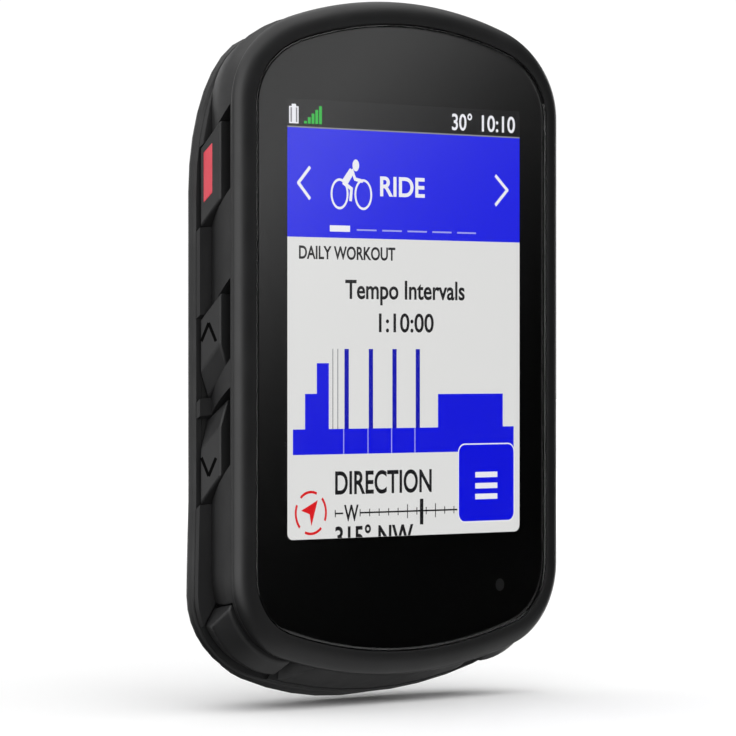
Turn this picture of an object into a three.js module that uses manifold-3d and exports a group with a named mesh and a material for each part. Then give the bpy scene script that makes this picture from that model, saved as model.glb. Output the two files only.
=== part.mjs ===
// Handlebar cycling computer with a touch display, in millimetres. +Z is up and the screen faces -Y.
// The origin is the centre of the flat rear face of the quarter-turn mount insert.
// Depths in this file are measured from the front of the bezel towards the mount.
import * as THREE from "three";
import { mergeVertices } from "three/addons/utils/BufferGeometryUtils.js";
import { ConvexGeometry } from "three/addons/geometries/ConvexGeometry.js";
import Module from "manifold-3d";

const wasm = await Module();
wasm.setup();

// ---- Driving dimensions ----
const DEPTH = 19.6; // bezel front to the rear face of the mount insert
const BACK = 17.0; // depth of the flat back
const GAP = 0.1; // between parts that meet face to face

// An outline has arched ends, elliptical corners and straight or flared sides.
const BEZEL = {
  top: { z: 42.75, half: 27.8, arch: 65, rx: 15, rz: 11.5 },
  bottom: { z: -39.2, half: 27.8, arch: 72, rx: 10.7, rz: 10.5 },
};
const RIM = {
  top: { z: 40.5, half: 28.6, arch: 70, rx: 10.5, rz: 18.8 },
  bottom: { z: -41.75, half: 28.9, arch: 72, rx: 15, rz: 11 },
};
const BELLY = {
  top: { z: 38.4, half: 24.8, arch: 66, rx: 11, rz: 17 },
  bottom: { z: -42.35, half: 24.5, arch: 50, rx: 12, rz: 11 },
};
const BACK_PANEL = {
  top: { z: 34.5, half: 19.3, arch: 62, rx: 11, rz: 13 },
  bottom: { z: -37, half: 19.3, arch: 52, rx: 9, rz: 9 },
};
const SEGMENTS = { arch: 4, corner: 8, side: 5 };

const BOTTOM_LIP = 1.04; // an inset is this much wider along the lower end
const BEZEL_REAR = 1.5;
const LIP = { width: 2.75, height: 1.35 }; // the bezel's section is a quarter ellipse
const LEDGE = 0.85; // depth of the ledge under the cover glass
const GLASS = { front: 0.05, rear: 0.6, inset: 2.87 };
const HOUSING = { front: 1.6, flange: 6.5, rear: 6.95, cavity: 3.9, rearCavity: 2.9 };
// Inset of the waist from the bezel's outline, at each depth.
const WAIST = [
  [0.3, 1.6],
  [0.3, 2.8],
  [0.45, 4.0],
  [0.75, 5.0],
  [1.15, 5.9],
  [1.4, 6.35],
];
const SHELL = { front: 7.1, rimRear: 8.85, innerBack: 15.4, wall: 1.9, cavity: 2.7 };
const BOARD = { front: 5.98, rear: 6.98, inset: 5.2 };

const DISPLAY = { halfWidth: 21.4, bottom: -23.7, top: 31.4, front: 0.82, rear: 2.1 };
const BACKLIGHT = { front: 2.2, rear: 3.1, margin: 0.5 };
const FRAME = { front: 3.9, rear: 4.7, halfWidth: 18.2, bottom: -22.5, top: 34 };

const TRAVEL = 0.5; // of every button
const BUTTON = {
  front: 3.5, // depth of the front edge of a side button
  rear: 6.8,
  face: 27.65, // half width at the front edge of the face
  lean: 0.25, // the face stands this much further out at its rear edge
  base: 25.6, // half width at the underside of the cap
  floor: 24.9, // half width at the floor of its pocket
  stemEnd: 22.5,
  stemDepth: 4.9,
  stemRadius: 0.8,
  clearance: 0.2,
  slot: 1.4, // open slot between the bezel and the front edge of a side button
};
const CORNER_BUTTON = {
  angle: THREE.MathUtils.degToRad(55), // of the push direction below the horizontal
  halfLength: 6,
  // Depth, radius from the centre of the bezel's corner, and shift along the button.
  front: { depth: 2.4, radius: 10.9, shift: 0 },
  ridge: { depth: 4.7, radius: 12.4, shift: -0.6 },
  rear: { depth: 6.7, radius: 11.8, shift: -1.3 },
  base: 8.3,
  floor: 7.6,
  pad: 6.4,
};
const SEAL = { inner: 0.87, outer: 1.6, thick: 0.8 };
const SWITCH = { length: 3.2, body: 1.3, front: 4.2, rear: 5.9, gap: 0.1 };

const SCREW_POSTS = [
  [21.2, 30.5],
  [-21.2, 30.5],
  [21.4, -23],
  [-21.4, -23],
];
const CASE_SCREW = { seat: 10.5, headRadius: 1.5, head: 1.3, shankRadius: 0.8, tip: 4.3 };
const INSERT = {
  flangeRadius: 13.5,
  flange: 1.0,
  neckRadius: 12.6,
  wingRadius: 15.7,
  wing: 1.3,
  wingHalfAngle: THREE.MathUtils.degToRad(26),
  screwCircle: 8.6,
};
const PORT = { z: -27, halfWidth: 4.6, halfHeight: 1.7, mouth: 14.0 };
const COVER = { halfWidth: 7.3, halfHeight: 3.55, thick: 1.3, clearance: 0.15 };
const VENT = { z: 27.4, pitch: 2.2, radius: 0.45 };
const LANYARD = { z: -40.3, depth: 12, ring: 2.3, tube: 0.8, tilt: THREE.MathUtils.degToRad(-41) };

// ---- Geometry helpers ----
const y = (depth) => depth - DEPTH;

/** A THREE geometry as a manifold solid. */
function solid(geometry) {
  const bare = new THREE.BufferGeometry();
  const source = geometry.index ? geometry.toNonIndexed() : geometry;
  bare.setAttribute("position", source.getAttribute("position"));
  const merged = mergeVertices(bare, 1e-4);
  return new wasm.Manifold(
    new wasm.Mesh({
      numProp: 3,
      vertProperties: merged.attributes.position.array,
      triVerts: new Uint32Array(merged.index.array),
    }),
  );
}

/** A manifold solid as a THREE geometry. */
function geometryOf(made) {
  const mesh = made.getMesh();
  const geometry = new THREE.BufferGeometry();
  const positions = new Float32Array(mesh.numVert * 3);
  for (let i = 0; i < mesh.numVert; i++)
    positions.set(mesh.vertProperties.subarray(i * mesh.numProp, i * mesh.numProp + 3), i * 3);
  geometry.setAttribute("position", new THREE.BufferAttribute(positions, 3));
  geometry.setIndex(new THREE.BufferAttribute(mesh.triVerts, 1));
  geometry.computeVertexNormals();
  return geometry;
}

const join = (...solids) => solids.reduce((a, b) => a.add(b));
const cut = (from, ...tools) => tools.reduce((a, b) => a.subtract(b), from);

/** A box between two x, two depths and two z. */
function block(x0, x1, depth0, depth1, z0, z1) {
  const geometry = new THREE.BoxGeometry(x1 - x0, depth1 - depth0, z1 - z0);
  return solid(geometry.translate((x0 + x1) / 2, y((depth0 + depth1) / 2), (z0 + z1) / 2));
}

/** A round rod along the depth axis. */
function rod(radius, x, z, depth0, depth1, sides = 16) {
  const geometry = new THREE.CylinderGeometry(radius, radius, depth1 - depth0, sides);
  return solid(geometry.translate(x, y((depth0 + depth1) / 2), z));
}

/** Where a corner ellipse and an arched end have the same slope, as the ellipse's angle. */
function cornerJoin({ half, arch, rx, rz }) {
  let low = 0.2;
  let high = Math.PI / 2;
  for (let i = 0; i < 40; i++) {
    const angle = (low + high) / 2;
    const x = half - rx + rx * Math.cos(angle);
    const steeper = rz / rx / Math.tan(angle) > x / Math.sqrt(arch * arch - x * x);
    if (steeper) low = angle;
    else high = angle;
  }
  return (low + high) / 2;
}

/** Points from the middle of an arched end to the end of its corner, on the +X side; up is 1 or -1. */
function halfEnd({ z, half, arch, rx, rz }, up) {
  const angle = cornerJoin({ half, arch, rx, rz });
  const joinX = half - rx + rx * Math.cos(angle);
  const drop = (x) => arch - Math.sqrt(arch * arch - x * x);
  const centreDrop = drop(joinX) + rz * Math.sin(angle);
  const points = [];
  for (let i = 0; i < SEGMENTS.arch; i++) {
    const x = (joinX * i) / SEGMENTS.arch;
    points.push([x, z - up * drop(x)]);
  }
  for (let i = 0; i <= SEGMENTS.corner; i++) {
    const a = angle * (1 - i / SEGMENTS.corner);
    points.push([half - rx + rx * Math.cos(a), z - up * (centreDrop - rz * Math.sin(a))]);
  }
  return points;
}

const shrink = (end, inset, up) => ({
  z: end.z - up * inset * (up > 0 ? 1 : BOTTOM_LIP),
  half: end.half - inset,
  arch: end.arch - inset,
  rx: end.rx - inset,
  rz: end.rz - inset,
});

/** The closed outline of a shape, inset by a distance, as [x, z] points in order. */
function outline(shape, inset = 0) {
  const top = halfEnd(shrink(shape.top, inset, 1), 1);
  const bottom = halfEnd(shrink(shape.bottom, inset, -1), -1);
  const [x0, z0] = top[top.length - 1];
  const [x1, z1] = bottom[bottom.length - 1];
  const side = [];
  for (let i = 1; i < SEGMENTS.side; i++) {
    const t = 1 - (1 - i / SEGMENTS.side) ** 1.6;
    side.push([x0 + (x1 - x0) * THREE.MathUtils.smoothstep(t, 0.75, 1), z0 + (z1 - z0) * t]);
  }
  const right = [...top, ...side, ...bottom.slice().reverse()];
  const left = right
    .slice(1, -1)
    .reverse()
    .map(([x, z]) => [-x, z]);
  return [...right, ...left];
}

const blend = (a, b, t) => a.map(([x, z], i) => [x + (b[i][0] - x) * t, z + (b[i][1] - z) * t]);

/** Joins layers of points into a closed skin; a ring of layers makes a tube, others get flat caps. */
function skin(layers, ring) {
  const count = layers[0].points.length;
  const at = (index, i) => {
    const { points, depth } = layers[index % layers.length];
    const [x, z] = points[i % count];
    return [x, y(depth), z];
  };
  const corners = [];
  const spans = ring ? layers.length : layers.length - 1;
  for (let index = 0; index < spans; index++)
    for (let i = 0; i < count; i++) {
      const [a, b] = [at(index, i), at(index, i + 1)];
      const [c, d] = [at(index + 1, i), at(index + 1, i + 1)];
      corners.push(a, b, d, a, d, c);
    }
  if (!ring)
    for (const [index, isFront] of [
      [0, true],
      [layers.length - 1, false],
    ]) {
      const centre = [0, y(layers[index].depth), 0];
      for (let i = 0; i < count; i++) {
        const [a, b] = [at(index, i), at(index, i + 1)];
        corners.push(...(isFront ? [b, a, centre] : [a, b, centre]));
      }
    }
  const geometry = new THREE.BufferGeometry();
  geometry.setAttribute("position", new THREE.Float32BufferAttribute(corners.flat(), 3));
  const made = solid(geometry);
  return made.volume() < 0 ? solid(flipped(geometry)) : made;
}

function flipped(geometry) {
  const source = geometry.getAttribute("position");
  const turned = new THREE.BufferAttribute(new Float32Array(source.array.length), 3);
  for (let i = 0; i < source.count; i += 3)
    for (const [j, k] of [0, 2, 1].entries())
      turned.setXYZ(i + j, source.getX(i + k), source.getY(i + k), source.getZ(i + k));
  return new THREE.BufferGeometry().setAttribute("position", turned);
}

const loft = (...layers) => skin(layers, false);
const ringLoft = (...layers) => skin(layers, true);
const layer = (points, depth) => ({ points, depth });
const plate = (points, depth0, depth1) => loft(layer(points, depth0), layer(points, depth1));
const hull = (points) => solid(new ConvexGeometry(points.map((p) => new THREE.Vector3(...p))));

const root = new THREE.Group();
const MATERIALS = {
  bezel: { color: 0x3a3a3b, roughness: 0.5, metalness: 0 },
  housing: { color: 0x1c1c1d, roughness: 0.45, metalness: 0 },
  button: { color: 0x343435, roughness: 0.55, metalness: 0 },
  glass: { color: 0x0b0b0c, roughness: 0.05, metalness: 0 },
  stripe: { color: 0xc8323f, roughness: 0.4, metalness: 0 },
  rubber: { color: 0x151516, roughness: 0.8, metalness: 0 },
  steel: { color: 0x8f9194, roughness: 0.35, metalness: 1 },
  board: { color: 0x14401f, roughness: 0.5, metalness: 0 },
  chip: { color: 0x1a1a1c, roughness: 0.5, metalness: 0 },
  panel: { color: 0xd9dad8, roughness: 0.4, metalness: 0 },
  cell: { color: 0xb9bcc0, roughness: 0.4, metalness: 0.4 },
  ceramic: { color: 0xb9a77c, roughness: 0.6, metalness: 0 },
  ribbon: { color: 0xa3682a, roughness: 0.5, metalness: 0 },
};

function addPart(name, made, material) {
  const mesh = new THREE.Mesh(geometryOf(made), new THREE.MeshStandardMaterial(MATERIALS[material]));
  mesh.name = name;
  root.add(mesh);
}

// ---- Button frames: each button has an outward direction and a point on its stem axis ----
const cornerEnd = BEZEL.bottom;
const cornerAngle = cornerJoin(cornerEnd);
const cornerX = cornerEnd.half - cornerEnd.rx;
const cornerJoinX = cornerX + cornerEnd.rx * Math.cos(cornerAngle);
const cornerZ =
  cornerEnd.z +
  cornerEnd.arch -
  Math.sqrt(cornerEnd.arch ** 2 - cornerJoinX ** 2) +
  cornerEnd.rz * Math.sin(cornerAngle);

/** A side button's frame: out is away from the middle plane, along is +Z. */
function sideFrame(side, stemZ) {
  const origin = new THREE.Vector3(0, y(BUTTON.stemDepth), stemZ);
  const out = new THREE.Vector3(side, 0, 0);
  return { side, origin, out, along: new THREE.Vector3(0, 0, 1) };
}

/** A corner button's frame: out leaves the bezel's corner centre, along runs towards the side. */
function cornerFrame(side) {
  const { angle } = CORNER_BUTTON;
  const origin = new THREE.Vector3(side * cornerX, y(BUTTON.stemDepth), cornerZ);
  const out = new THREE.Vector3(side * Math.cos(angle), 0, -Math.sin(angle));
  const along = new THREE.Vector3(side * Math.sin(angle), 0, Math.cos(angle));
  return { side, origin, out, along };
}

/** A point of a button's frame: distance out, distance along, and depth. */
function place(frame, out, along, depth) {
  const p = frame.origin.clone().addScaledVector(frame.out, out).addScaledVector(frame.along, along);
  return [p.x, y(depth), p.z];
}

/** A box in a button's frame. */
function frameBlock(frame, [out0, out1], [along0, along1], [depth0, depth1]) {
  const corners = [];
  for (const out of [out0, out1])
    for (const along of [along0, along1])
      for (const depth of [depth0, depth1]) corners.push(place(frame, out, along, depth));
  return hull(corners);
}

/** A rod or a square-section ring along a button's outward direction, on its stem axis. */
function frameRod(frame, radius, out0, out1, sides = 14) {
  const geometry = new THREE.CylinderGeometry(radius, radius, out1 - out0, sides);
  const turn = new THREE.Quaternion().setFromUnitVectors(new THREE.Vector3(0, 1, 0), frame.out);
  const centre = frame.origin.clone().addScaledVector(frame.out, (out0 + out1) / 2);
  return solid(geometry.applyQuaternion(turn).translate(centre.x, centre.y, centre.z));
}

// ---- Side buttons ----
// Each cap is a slanted prism. Its ends are [front z, rear z], and a sloping tip stands lower than the face.
const UPPER = { top: [7.05, 3.9], facet: [1.1, -2.3], bottom: [-2.05, -5.5], tipDown: true, stemZ: 1.0 };
const LOWER = { top: [-5.5, -8.0], facet: [-8.7, -11.7], bottom: [-14.6, -18.1], tipDown: false, stemZ: -12.4 };
const SIDE_BUTTONS = [
  { name: "power", side: -1, top: [27.5, 24.2], bottom: [18.1, 14.8], stemZ: 21.1 },
  { name: "up", side: -1, ...UPPER },
  { name: "down", side: -1, ...LOWER },
  { name: "enter", side: 1, ...UPPER },
  { name: "back", side: 1, ...LOWER },
];
const TIP_DROP = 1.2; // how much lower the sloping tip ends than the face

/** A prism with slanted ends between two half widths; grow and slot widen it into a pocket. */
function slantedPrism({ side, top, bottom }, half0, half1, grow, slot) {
  const points = [];
  for (const [end, up] of [
    [top, 1],
    [bottom, -1],
  ]) {
    const slope = (end[1] - end[0]) / (BUTTON.rear - BUTTON.front);
    const room = up * grow * Math.sqrt(1 + slope * slope);
    for (const depth of [BUTTON.front - grow - slot, BUTTON.rear + grow])
      for (const half of [half0, half1])
        points.push([side * half, y(depth), end[0] + slope * (depth - BUTTON.front) + room]);
  }
  return hull(points);
}

function sideCap(button) {
  const { side, top, facet, bottom } = button;
  const face = [];
  for (const [k, half] of [BUTTON.face, BUTTON.face + BUTTON.lean].entries()) {
    const depth = k ? BUTTON.rear : BUTTON.front;
    for (const end of [top, bottom]) {
      const isTip = facet && (end === bottom) === button.tipDown;
      face.push([side * (isTip ? half - TIP_DROP : half), y(depth), end[k]]);
    }
    if (facet) face.push([side * half, y(depth), facet[k]]);
    for (const end of [top, bottom]) face.push([side * BUTTON.base, y(depth), end[k]]);
  }
  return hull(face);
}

/** Cap with its stem. */
function sideButton(button) {
  const frame = sideFrame(button.side, button.stemZ);
  return join(sideCap(button), frameRod(frame, BUTTON.stemRadius, BUTTON.stemEnd, BUTTON.base + 0.5));
}

const stripeOutline = { side: -1, top: [24.9, 23.7], bottom: [18.9, 17.7] };
/** The coloured inlay of the power button, or with grow the groove that holds it. */
function powerStripe(grow = 0) {
  const { side, top, bottom } = stripeOutline;
  const [front, rear] = [4.75, 6.2];
  const points = [];
  for (const [k, depth] of [front - grow, rear + grow].entries()) {
    const face = BUTTON.face + (BUTTON.lean * (depth - BUTTON.front)) / (BUTTON.rear - BUTTON.front);
    for (const half of [BUTTON.face - 0.45 - grow, face + 0.04 + grow * 4])
      points.push([side * half, y(depth), top[k] + grow], [side * half, y(depth), bottom[k] - grow]);
  }
  return hull(points);
}

// ---- Corner buttons ----
/** The cap of a corner button, or with grow its pocket, from one distance out to beyond the face. */
function cornerCap(frame, base, grow = 0) {
  const { front, ridge, rear, halfLength } = CORNER_BUTTON;
  const points = [];
  for (const [station, room] of [
    [front, -grow],
    [ridge, 0],
    [rear, grow],
  ]) {
    const steps = 8;
    for (let i = 0; i <= steps; i++) {
      const along = (halfLength + grow) * ((2 * i) / steps - 1) + station.shift;
      const out = Math.sqrt(station.radius ** 2 - along ** 2) + grow * 20;
      const depth = station.depth + room;
      points.push(place(frame, out, along, depth), place(frame, base, along, depth));
    }
  }
  return hull(points);
}

function cornerButton(side) {
  const frame = cornerFrame(side);
  const stem = frameRod(frame, BUTTON.stemRadius, CORNER_BUTTON.floor - TRAVEL - 1.75, CORNER_BUTTON.base + 0.5);
  return join(cornerCap(frame, CORNER_BUTTON.base), stem);
}

// ---- Switches and seals, one set for each button ----
/** Everything a button needs around its stem; floor is the pocket floor and inner the wall behind it. */
function buttonStations() {
  const stations = SIDE_BUTTONS.map((button) => ({
    name: button.name,
    frame: sideFrame(button.side, button.stemZ),
    inner: BEZEL.top.half - HOUSING.cavity,
    stemEnd: BUTTON.stemEnd,
  }));
  for (const [name, side] of [
    ["lap", -1],
    ["start", 1],
  ])
    stations.push({
      name,
      frame: cornerFrame(side),
      inner: CORNER_BUTTON.pad,
      stemEnd: CORNER_BUTTON.floor - TRAVEL - 1.75,
    });
  return stations;
}

/** The soft ring that seals a stem, in a counterbore on the inside of the wall. */
function stemSeal({ frame, inner }) {
  const outer = frameRod(frame, SEAL.outer, inner + 0.05, inner + SEAL.thick - 0.05);
  return outer.subtract(frameRod(frame, SEAL.inner, inner - 1, inner + 2));
}

/** A tactile switch on the front of the board; its plunger is drawn at its pressed height. */
function tactileSwitch({ frame, stemEnd }) {
  const tip = stemEnd - TRAVEL - SWITCH.gap;
  const bodyEnd = tip - 0.3;
  const half = SWITCH.length / 2;
  const body = frameBlock(frame, [bodyEnd - SWITCH.body, bodyEnd], [-half, half], [SWITCH.front, SWITCH.rear]);
  return join(body, frameRod(frame, 0.55, bodyEnd - 0.2, tip));
}

// ---- Case ----
function frontBezel() {
  const o = (inset) => outline(BEZEL, inset);
  const lip = [];
  for (let i = 0; i <= 6; i++) {
    const turn = (i * Math.PI) / 12;
    lip.push(layer(o(LIP.width * (1 - Math.sin(turn))), LIP.height * (1 - Math.cos(turn))));
  }
  return ringLoft(
    layer(o(LIP.width), LEDGE),
    ...lip,
    layer(o(0.12), BEZEL_REAR),
    layer(o(3.85), BEZEL_REAR),
    layer(o(3.85), LEDGE),
  );
}

/** The pocket of a button and the hole and seal seat of its stem. */
function buttonCuts({ name, frame, inner }) {
  const side = SIDE_BUTTONS.find((button) => button.name === name);
  const pocket = side
    ? slantedPrism(side, BUTTON.floor, BUTTON.face + 3, BUTTON.clearance, BUTTON.slot)
    : cornerCap(frame, CORNER_BUTTON.floor, BUTTON.clearance);
  const hole = frameRod(frame, BUTTON.stemRadius + 0.1, inner - 1, inner + 4);
  const seat = frameRod(frame, SEAL.outer + 0.08, inner - 0.5, inner + SEAL.thick);
  return join(pocket, hole, seat);
}

function midHousing(stations) {
  const recessed = loft(
    ...WAIST.map(([inset, depth]) => layer(outline(BEZEL, inset), depth)),
    layer(outline(RIM, 0.45), HOUSING.flange),
    layer(outline(RIM, 0.3), HOUSING.rear),
  );
  const flush = loft(
    layer(outline(BEZEL, 0.35), HOUSING.front),
    layer(blend(outline(BEZEL, 0.35), outline(RIM, 0.4), 0.6), 4.6),
    layer(outline(RIM, 0.4), HOUSING.rear),
  );
  const chinEnds = [];
  for (const x of [-1, 1])
    for (const z of [-50, -30])
      chinEnds.push([x * 13, y(HOUSING.front), z], [x * 15.6, y(HOUSING.rear), z]);
  const chin = flush.intersect(hull(chinEnds));

  const wide = outline(BEZEL, HOUSING.cavity);
  const frontCavity = plate(wide, HOUSING.front - 1, 5.6);
  const rearCavity = plate(wide, 5.5, HOUSING.rear + 1).intersect(
    plate(outline(RIM, HOUSING.rearCavity), 5.5, HOUSING.rear + 1),
  );
  const pads = [-1, 1].map((side) => frameBlock(cornerFrame(side), [CORNER_BUTTON.pad, 20], [-9, 9], [0, 10]));
  const cavity = cut(join(frontCavity, rearCavity), ...pads);
  const bosses = SCREW_POSTS.map(([x, z]) => rod(2.7, x, z, 3.95, 5.9));
  const threads = SCREW_POSTS.map(([x, z]) => rod(CASE_SCREW.shankRadius + 0.05, x, z, 4.2, 8));
  const shell = join(cut(join(recessed, chin), cavity), ...bosses);
  return cut(shell, ...threads, ...stations.map(buttonCuts));
}

/** The outer surface of the rear shell, as a solid. */
function shellOuter() {
  const rim = outline(RIM, 0.75);
  const belly = outline(BELLY);
  const back = outline(BACK_PANEL);
  return loft(
    layer(outline(RIM, 0.4), SHELL.front),
    layer(outline(RIM, 0.08), 7.3),
    layer(outline(RIM, 0), 7.6),
    layer(outline(RIM, 0), 7.95),
    layer(outline(RIM, 0.2), 8.3),
    layer(rim, SHELL.rimRear),
    layer(blend(rim, belly, 0.5), 10.0),
    layer(belly, 11.6),
    layer(blend(belly, back, 0.5), 13.9),
    layer(blend(belly, back, 0.92), 15.8),
    layer(outline(BACK_PANEL, 0.4), 16.6),
    layer(outline(BACK_PANEL, 1.5), BACK),
  );
}

function shellCavity() {
  const rim = outline(RIM, SHELL.cavity);
  const belly = outline(BELLY, SHELL.wall);
  const back = outline(BACK_PANEL, SHELL.wall);
  return loft(
    layer(rim, SHELL.front - 1),
    layer(rim, 8.3),
    layer(belly, 11.2),
    layer(blend(belly, back, 0.6), 13.4),
    layer(back, SHELL.innerBack),
  );
}

function rearShell() {
  const outer = shellOuter();
  const posts = SCREW_POSTS.map(([x, z]) => rod(2.9, x, z, SHELL.front, 16).intersect(outer));
  const portBoss = block(-8.2, 8.2, 14.1, 15.6, PORT.z - 4.5, PORT.z + 4.5);
  const lanyardPad = block(-5, 5, 8.4, 15.6, -42.5, -35.4).intersect(outer);
  const body = join(cut(outer, shellCavity()), ...posts, portBoss, lanyardPad);

  const screwHoles = SCREW_POSTS.flatMap(([x, z]) => [
    rod(CASE_SCREW.shankRadius + 0.2, x, z, 6, 12),
    rod(CASE_SCREW.headRadius + 0.3, x, z, CASE_SCREW.seat, 18),
  ]);
  const groove = ringLoft(
    ...[
      [1.2, SHELL.front - 1],
      [2.0, SHELL.front - 1],
      [2.0, 7.75],
      [1.2, 7.75],
    ].map(([inset, depth]) => layer(outline(RIM, inset), depth)),
  );
  const insertSeat = rod(INSERT.flangeRadius + 0.15, 0, 0, BACK - INSERT.flange - 0.1, 18, 40);
  const insertHoles = insertScrewPlaces().map(([x, z]) => rod(0.75, x, z, 15.0, 18));
  const { halfWidth, halfHeight, thick, clearance } = COVER;
  const coverSeat = block(
    -halfWidth - clearance,
    halfWidth + clearance,
    BACK - thick - 0.1,
    18,
    PORT.z - halfHeight - clearance,
    PORT.z + halfHeight + clearance,
  );
  const portHole = block(-5.1, 5.1, 13, 16, PORT.z - 2.2, PORT.z + 2.2);
  const vents = [-1, 0, 1].map((k) => rod(VENT.radius, k * VENT.pitch, VENT.z, 14, 18, 10));
  const loop = new THREE.TorusGeometry(LANYARD.ring, LANYARD.tube, 8, 20);
  loop.rotateX(LANYARD.tilt).translate(0, y(LANYARD.depth), LANYARD.z);
  return cut(body, ...screwHoles, groove, insertSeat, ...insertHoles, coverSeat, portHole, ...vents, solid(loop));
}

function housingGasket() {
  const section = [
    [1.28, 7.02],
    [1.92, 7.02],
    [1.92, 7.65],
    [1.28, 7.65],
  ];
  return ringLoft(...section.map(([inset, depth]) => layer(outline(RIM, inset), depth)));
}

// ---- Quarter-turn mount ----
function insertScrewPlaces() {
  const places = [];
  for (let k = 0; k < 4; k++) {
    const angle = Math.PI / 4 + (k * Math.PI) / 2;
    places.push([INSERT.screwCircle * Math.cos(angle), INSERT.screwCircle * Math.sin(angle)]);
  }
  return places;
}

/** The two wings that lock under the lips of a handlebar mount. */
function insertWings() {
  const shape = new THREE.Shape();
  const { wingHalfAngle: a, wingRadius: r } = INSERT;
  shape.absarc(0, 0, r, -a, a, false);
  shape.absarc(0, 0, r, Math.PI - a, Math.PI + a, false);
  shape.closePath();
  const geometry = new THREE.ExtrudeGeometry(shape, { depth: INSERT.wing, bevelEnabled: false, curveSegments: 10 });
  return solid(geometry.rotateX(Math.PI / 2));
}

function mountInsert() {
  const flange = rod(INSERT.flangeRadius, 0, 0, BACK - INSERT.flange, BACK + 0.2, 40);
  const neck = rod(INSERT.neckRadius, 0, 0, BACK - INSERT.flange, DEPTH, 40);
  const pockets = insertScrewPlaces().flatMap(([x, z]) => [
    rod(1.6, x, z, DEPTH - 1.3, DEPTH + 1),
    rod(0.95, x, z, 15, DEPTH),
  ]);
  return cut(join(flange, neck, insertWings()), ...pockets);
}

/** A pan-head screw with a hexagonal socket; the head is towards the back. */
function screw(x, z, tip, seat, headDepth, headRadius, shankRadius) {
  const made = join(rod(headRadius, x, z, seat, headDepth), rod(shankRadius, x, z, tip, seat + 0.2, 10));
  return made.subtract(rod(headRadius * 0.5, x, z, headDepth - 0.6, headDepth + 1, 6));
}

// ---- Display stack ----
function coverGlass() {
  const o = (inset) => outline(BEZEL, inset);
  const { inset, front, rear } = GLASS;
  return loft(layer(o(inset + 0.25), front), layer(o(inset), front + 0.2), layer(o(inset), rear));
}

function glassAdhesive() {
  const section = [
    [2.95, 0.65],
    [3.75, 0.65],
    [3.75, 0.8],
    [2.95, 0.8],
  ];
  return ringLoft(...section.map(([inset, depth]) => layer(outline(BEZEL, inset), depth)));
}

function displayRibbon() {
  // From the lower edge of the panel, round the support frame, to the connector on the board.
  const centre = [
    [1.4, -23.85],
    [1.4, -25.2],
    [2.6, -26.4],
    [4.3, -26.4],
    [4.7, -27.0],
    [4.7, -28.2],
  ];
  const thick = 0.16;
  const shape = new THREE.Shape(centre.map(([depth, z]) => new THREE.Vector2(y(depth), z)));
  for (const [depth, z] of centre.slice().reverse()) shape.lineTo(y(depth + thick), z + thick);
  const geometry = new THREE.ExtrudeGeometry(shape, { depth: 12, bevelEnabled: false });
  // The section is drawn in the YZ plane and runs along X.
  geometry.applyMatrix4(new THREE.Matrix4().set(0, 0, 1, -6, 1, 0, 0, 0, 0, 1, 0, 0, 0, 0, 0, 1));
  return solid(geometry);
}

function supportFrame() {
  const { halfWidth, front, rear, bottom, top } = FRAME;
  const sheet = block(-halfWidth, halfWidth, front, rear, bottom, top);
  const windows = [-1, 1].map((side) => block(side * 9 - 7, side * 9 + 7, 3, 6, -14, 22));
  return cut(sheet, ...windows);
}

// ---- Board and what it carries ----
function mainBoard() {
  const { front, rear, inset } = BOARD;
  const sheet = plate(outline(BEZEL, inset), front, rear).intersect(plate(outline(RIM, 3.5), front, rear));
  const corners = [-1, 1].map((side) => frameBlock(cornerFrame(side), [5.9, 20], [-12, 12], [0, 10]));
  const holes = SCREW_POSTS.map(([x, z]) => rod(CASE_SCREW.shankRadius + 0.25, x, z, 5, 8, 12));
  return cut(sheet, ...corners, ...holes);
}

function shieldCan() {
  const [x0, x1, z0, z1] = [-15, 9, 2, 22];
  const wall = 0.3;
  const outer = block(x0, x1, BOARD.rear + 0.07, 8.7, z0, z1);
  return outer.subtract(block(x0 + wall, x1 - wall, BOARD.rear - 1, 8.7 - wall, z0 + wall, z1 - wall));
}

function usbSocket() {
  const { z, halfWidth, halfHeight, mouth } = PORT;
  const wall = 0.35;
  const can = block(-halfWidth, halfWidth, BOARD.rear + 0.07, mouth, z - halfHeight, z + halfHeight);
  const bore = block(-halfWidth + wall, halfWidth - wall, 8.2, mouth + 1, z - halfHeight + wall, z + halfHeight - wall);
  const tongue = block(-3.3, 3.3, 8.0, mouth - 0.5, z - 0.35, z + 0.35);
  return join(can.subtract(bore), tongue);
}

/** The rubber weather cover of the socket: a plate and a plug that fills the opening. */
function portCover() {
  const { halfWidth, halfHeight, thick } = COVER;
  const lid = block(-halfWidth, halfWidth, BACK - thick, BACK, PORT.z - halfHeight, PORT.z + halfHeight);
  const plug = block(-4.2, 4.2, PORT.mouth + 0.15, BACK - 0.3, PORT.z - 1.3, PORT.z + 1.3);
  const grip = block(-2.6, 2.6, BACK - 0.55, BACK + 1, PORT.z - 4.5, PORT.z - halfHeight + 1.1);
  return cut(join(lid, plug), grip);
}

// ---- Assembly ----
const stations = buttonStations();

addPart("front_bezel", frontBezel(), "bezel");
addPart("cover_glass", coverGlass(), "glass");
addPart("glass_adhesive", glassAdhesive(), "rubber");
addPart("mid_housing", midHousing(stations), "housing");
addPart("rear_shell", rearShell(), "housing");
addPart("housing_gasket", housingGasket(), "rubber");

for (const button of SIDE_BUTTONS)
  addPart(
    `${button.name}_button`,
    button.name === "power" ? sideButton(button).subtract(powerStripe(0.06)) : sideButton(button),
    "button",
  );
addPart("power_stripe", powerStripe(), "stripe");
addPart("lap_button", cornerButton(-1), "button");
addPart("start_button", cornerButton(1), "button");
for (const station of stations) {
  addPart(`${station.name}_seal`, stemSeal(station), "rubber");
  addPart(`${station.name}_switch`, tactileSwitch(station), "steel");
}

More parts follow.
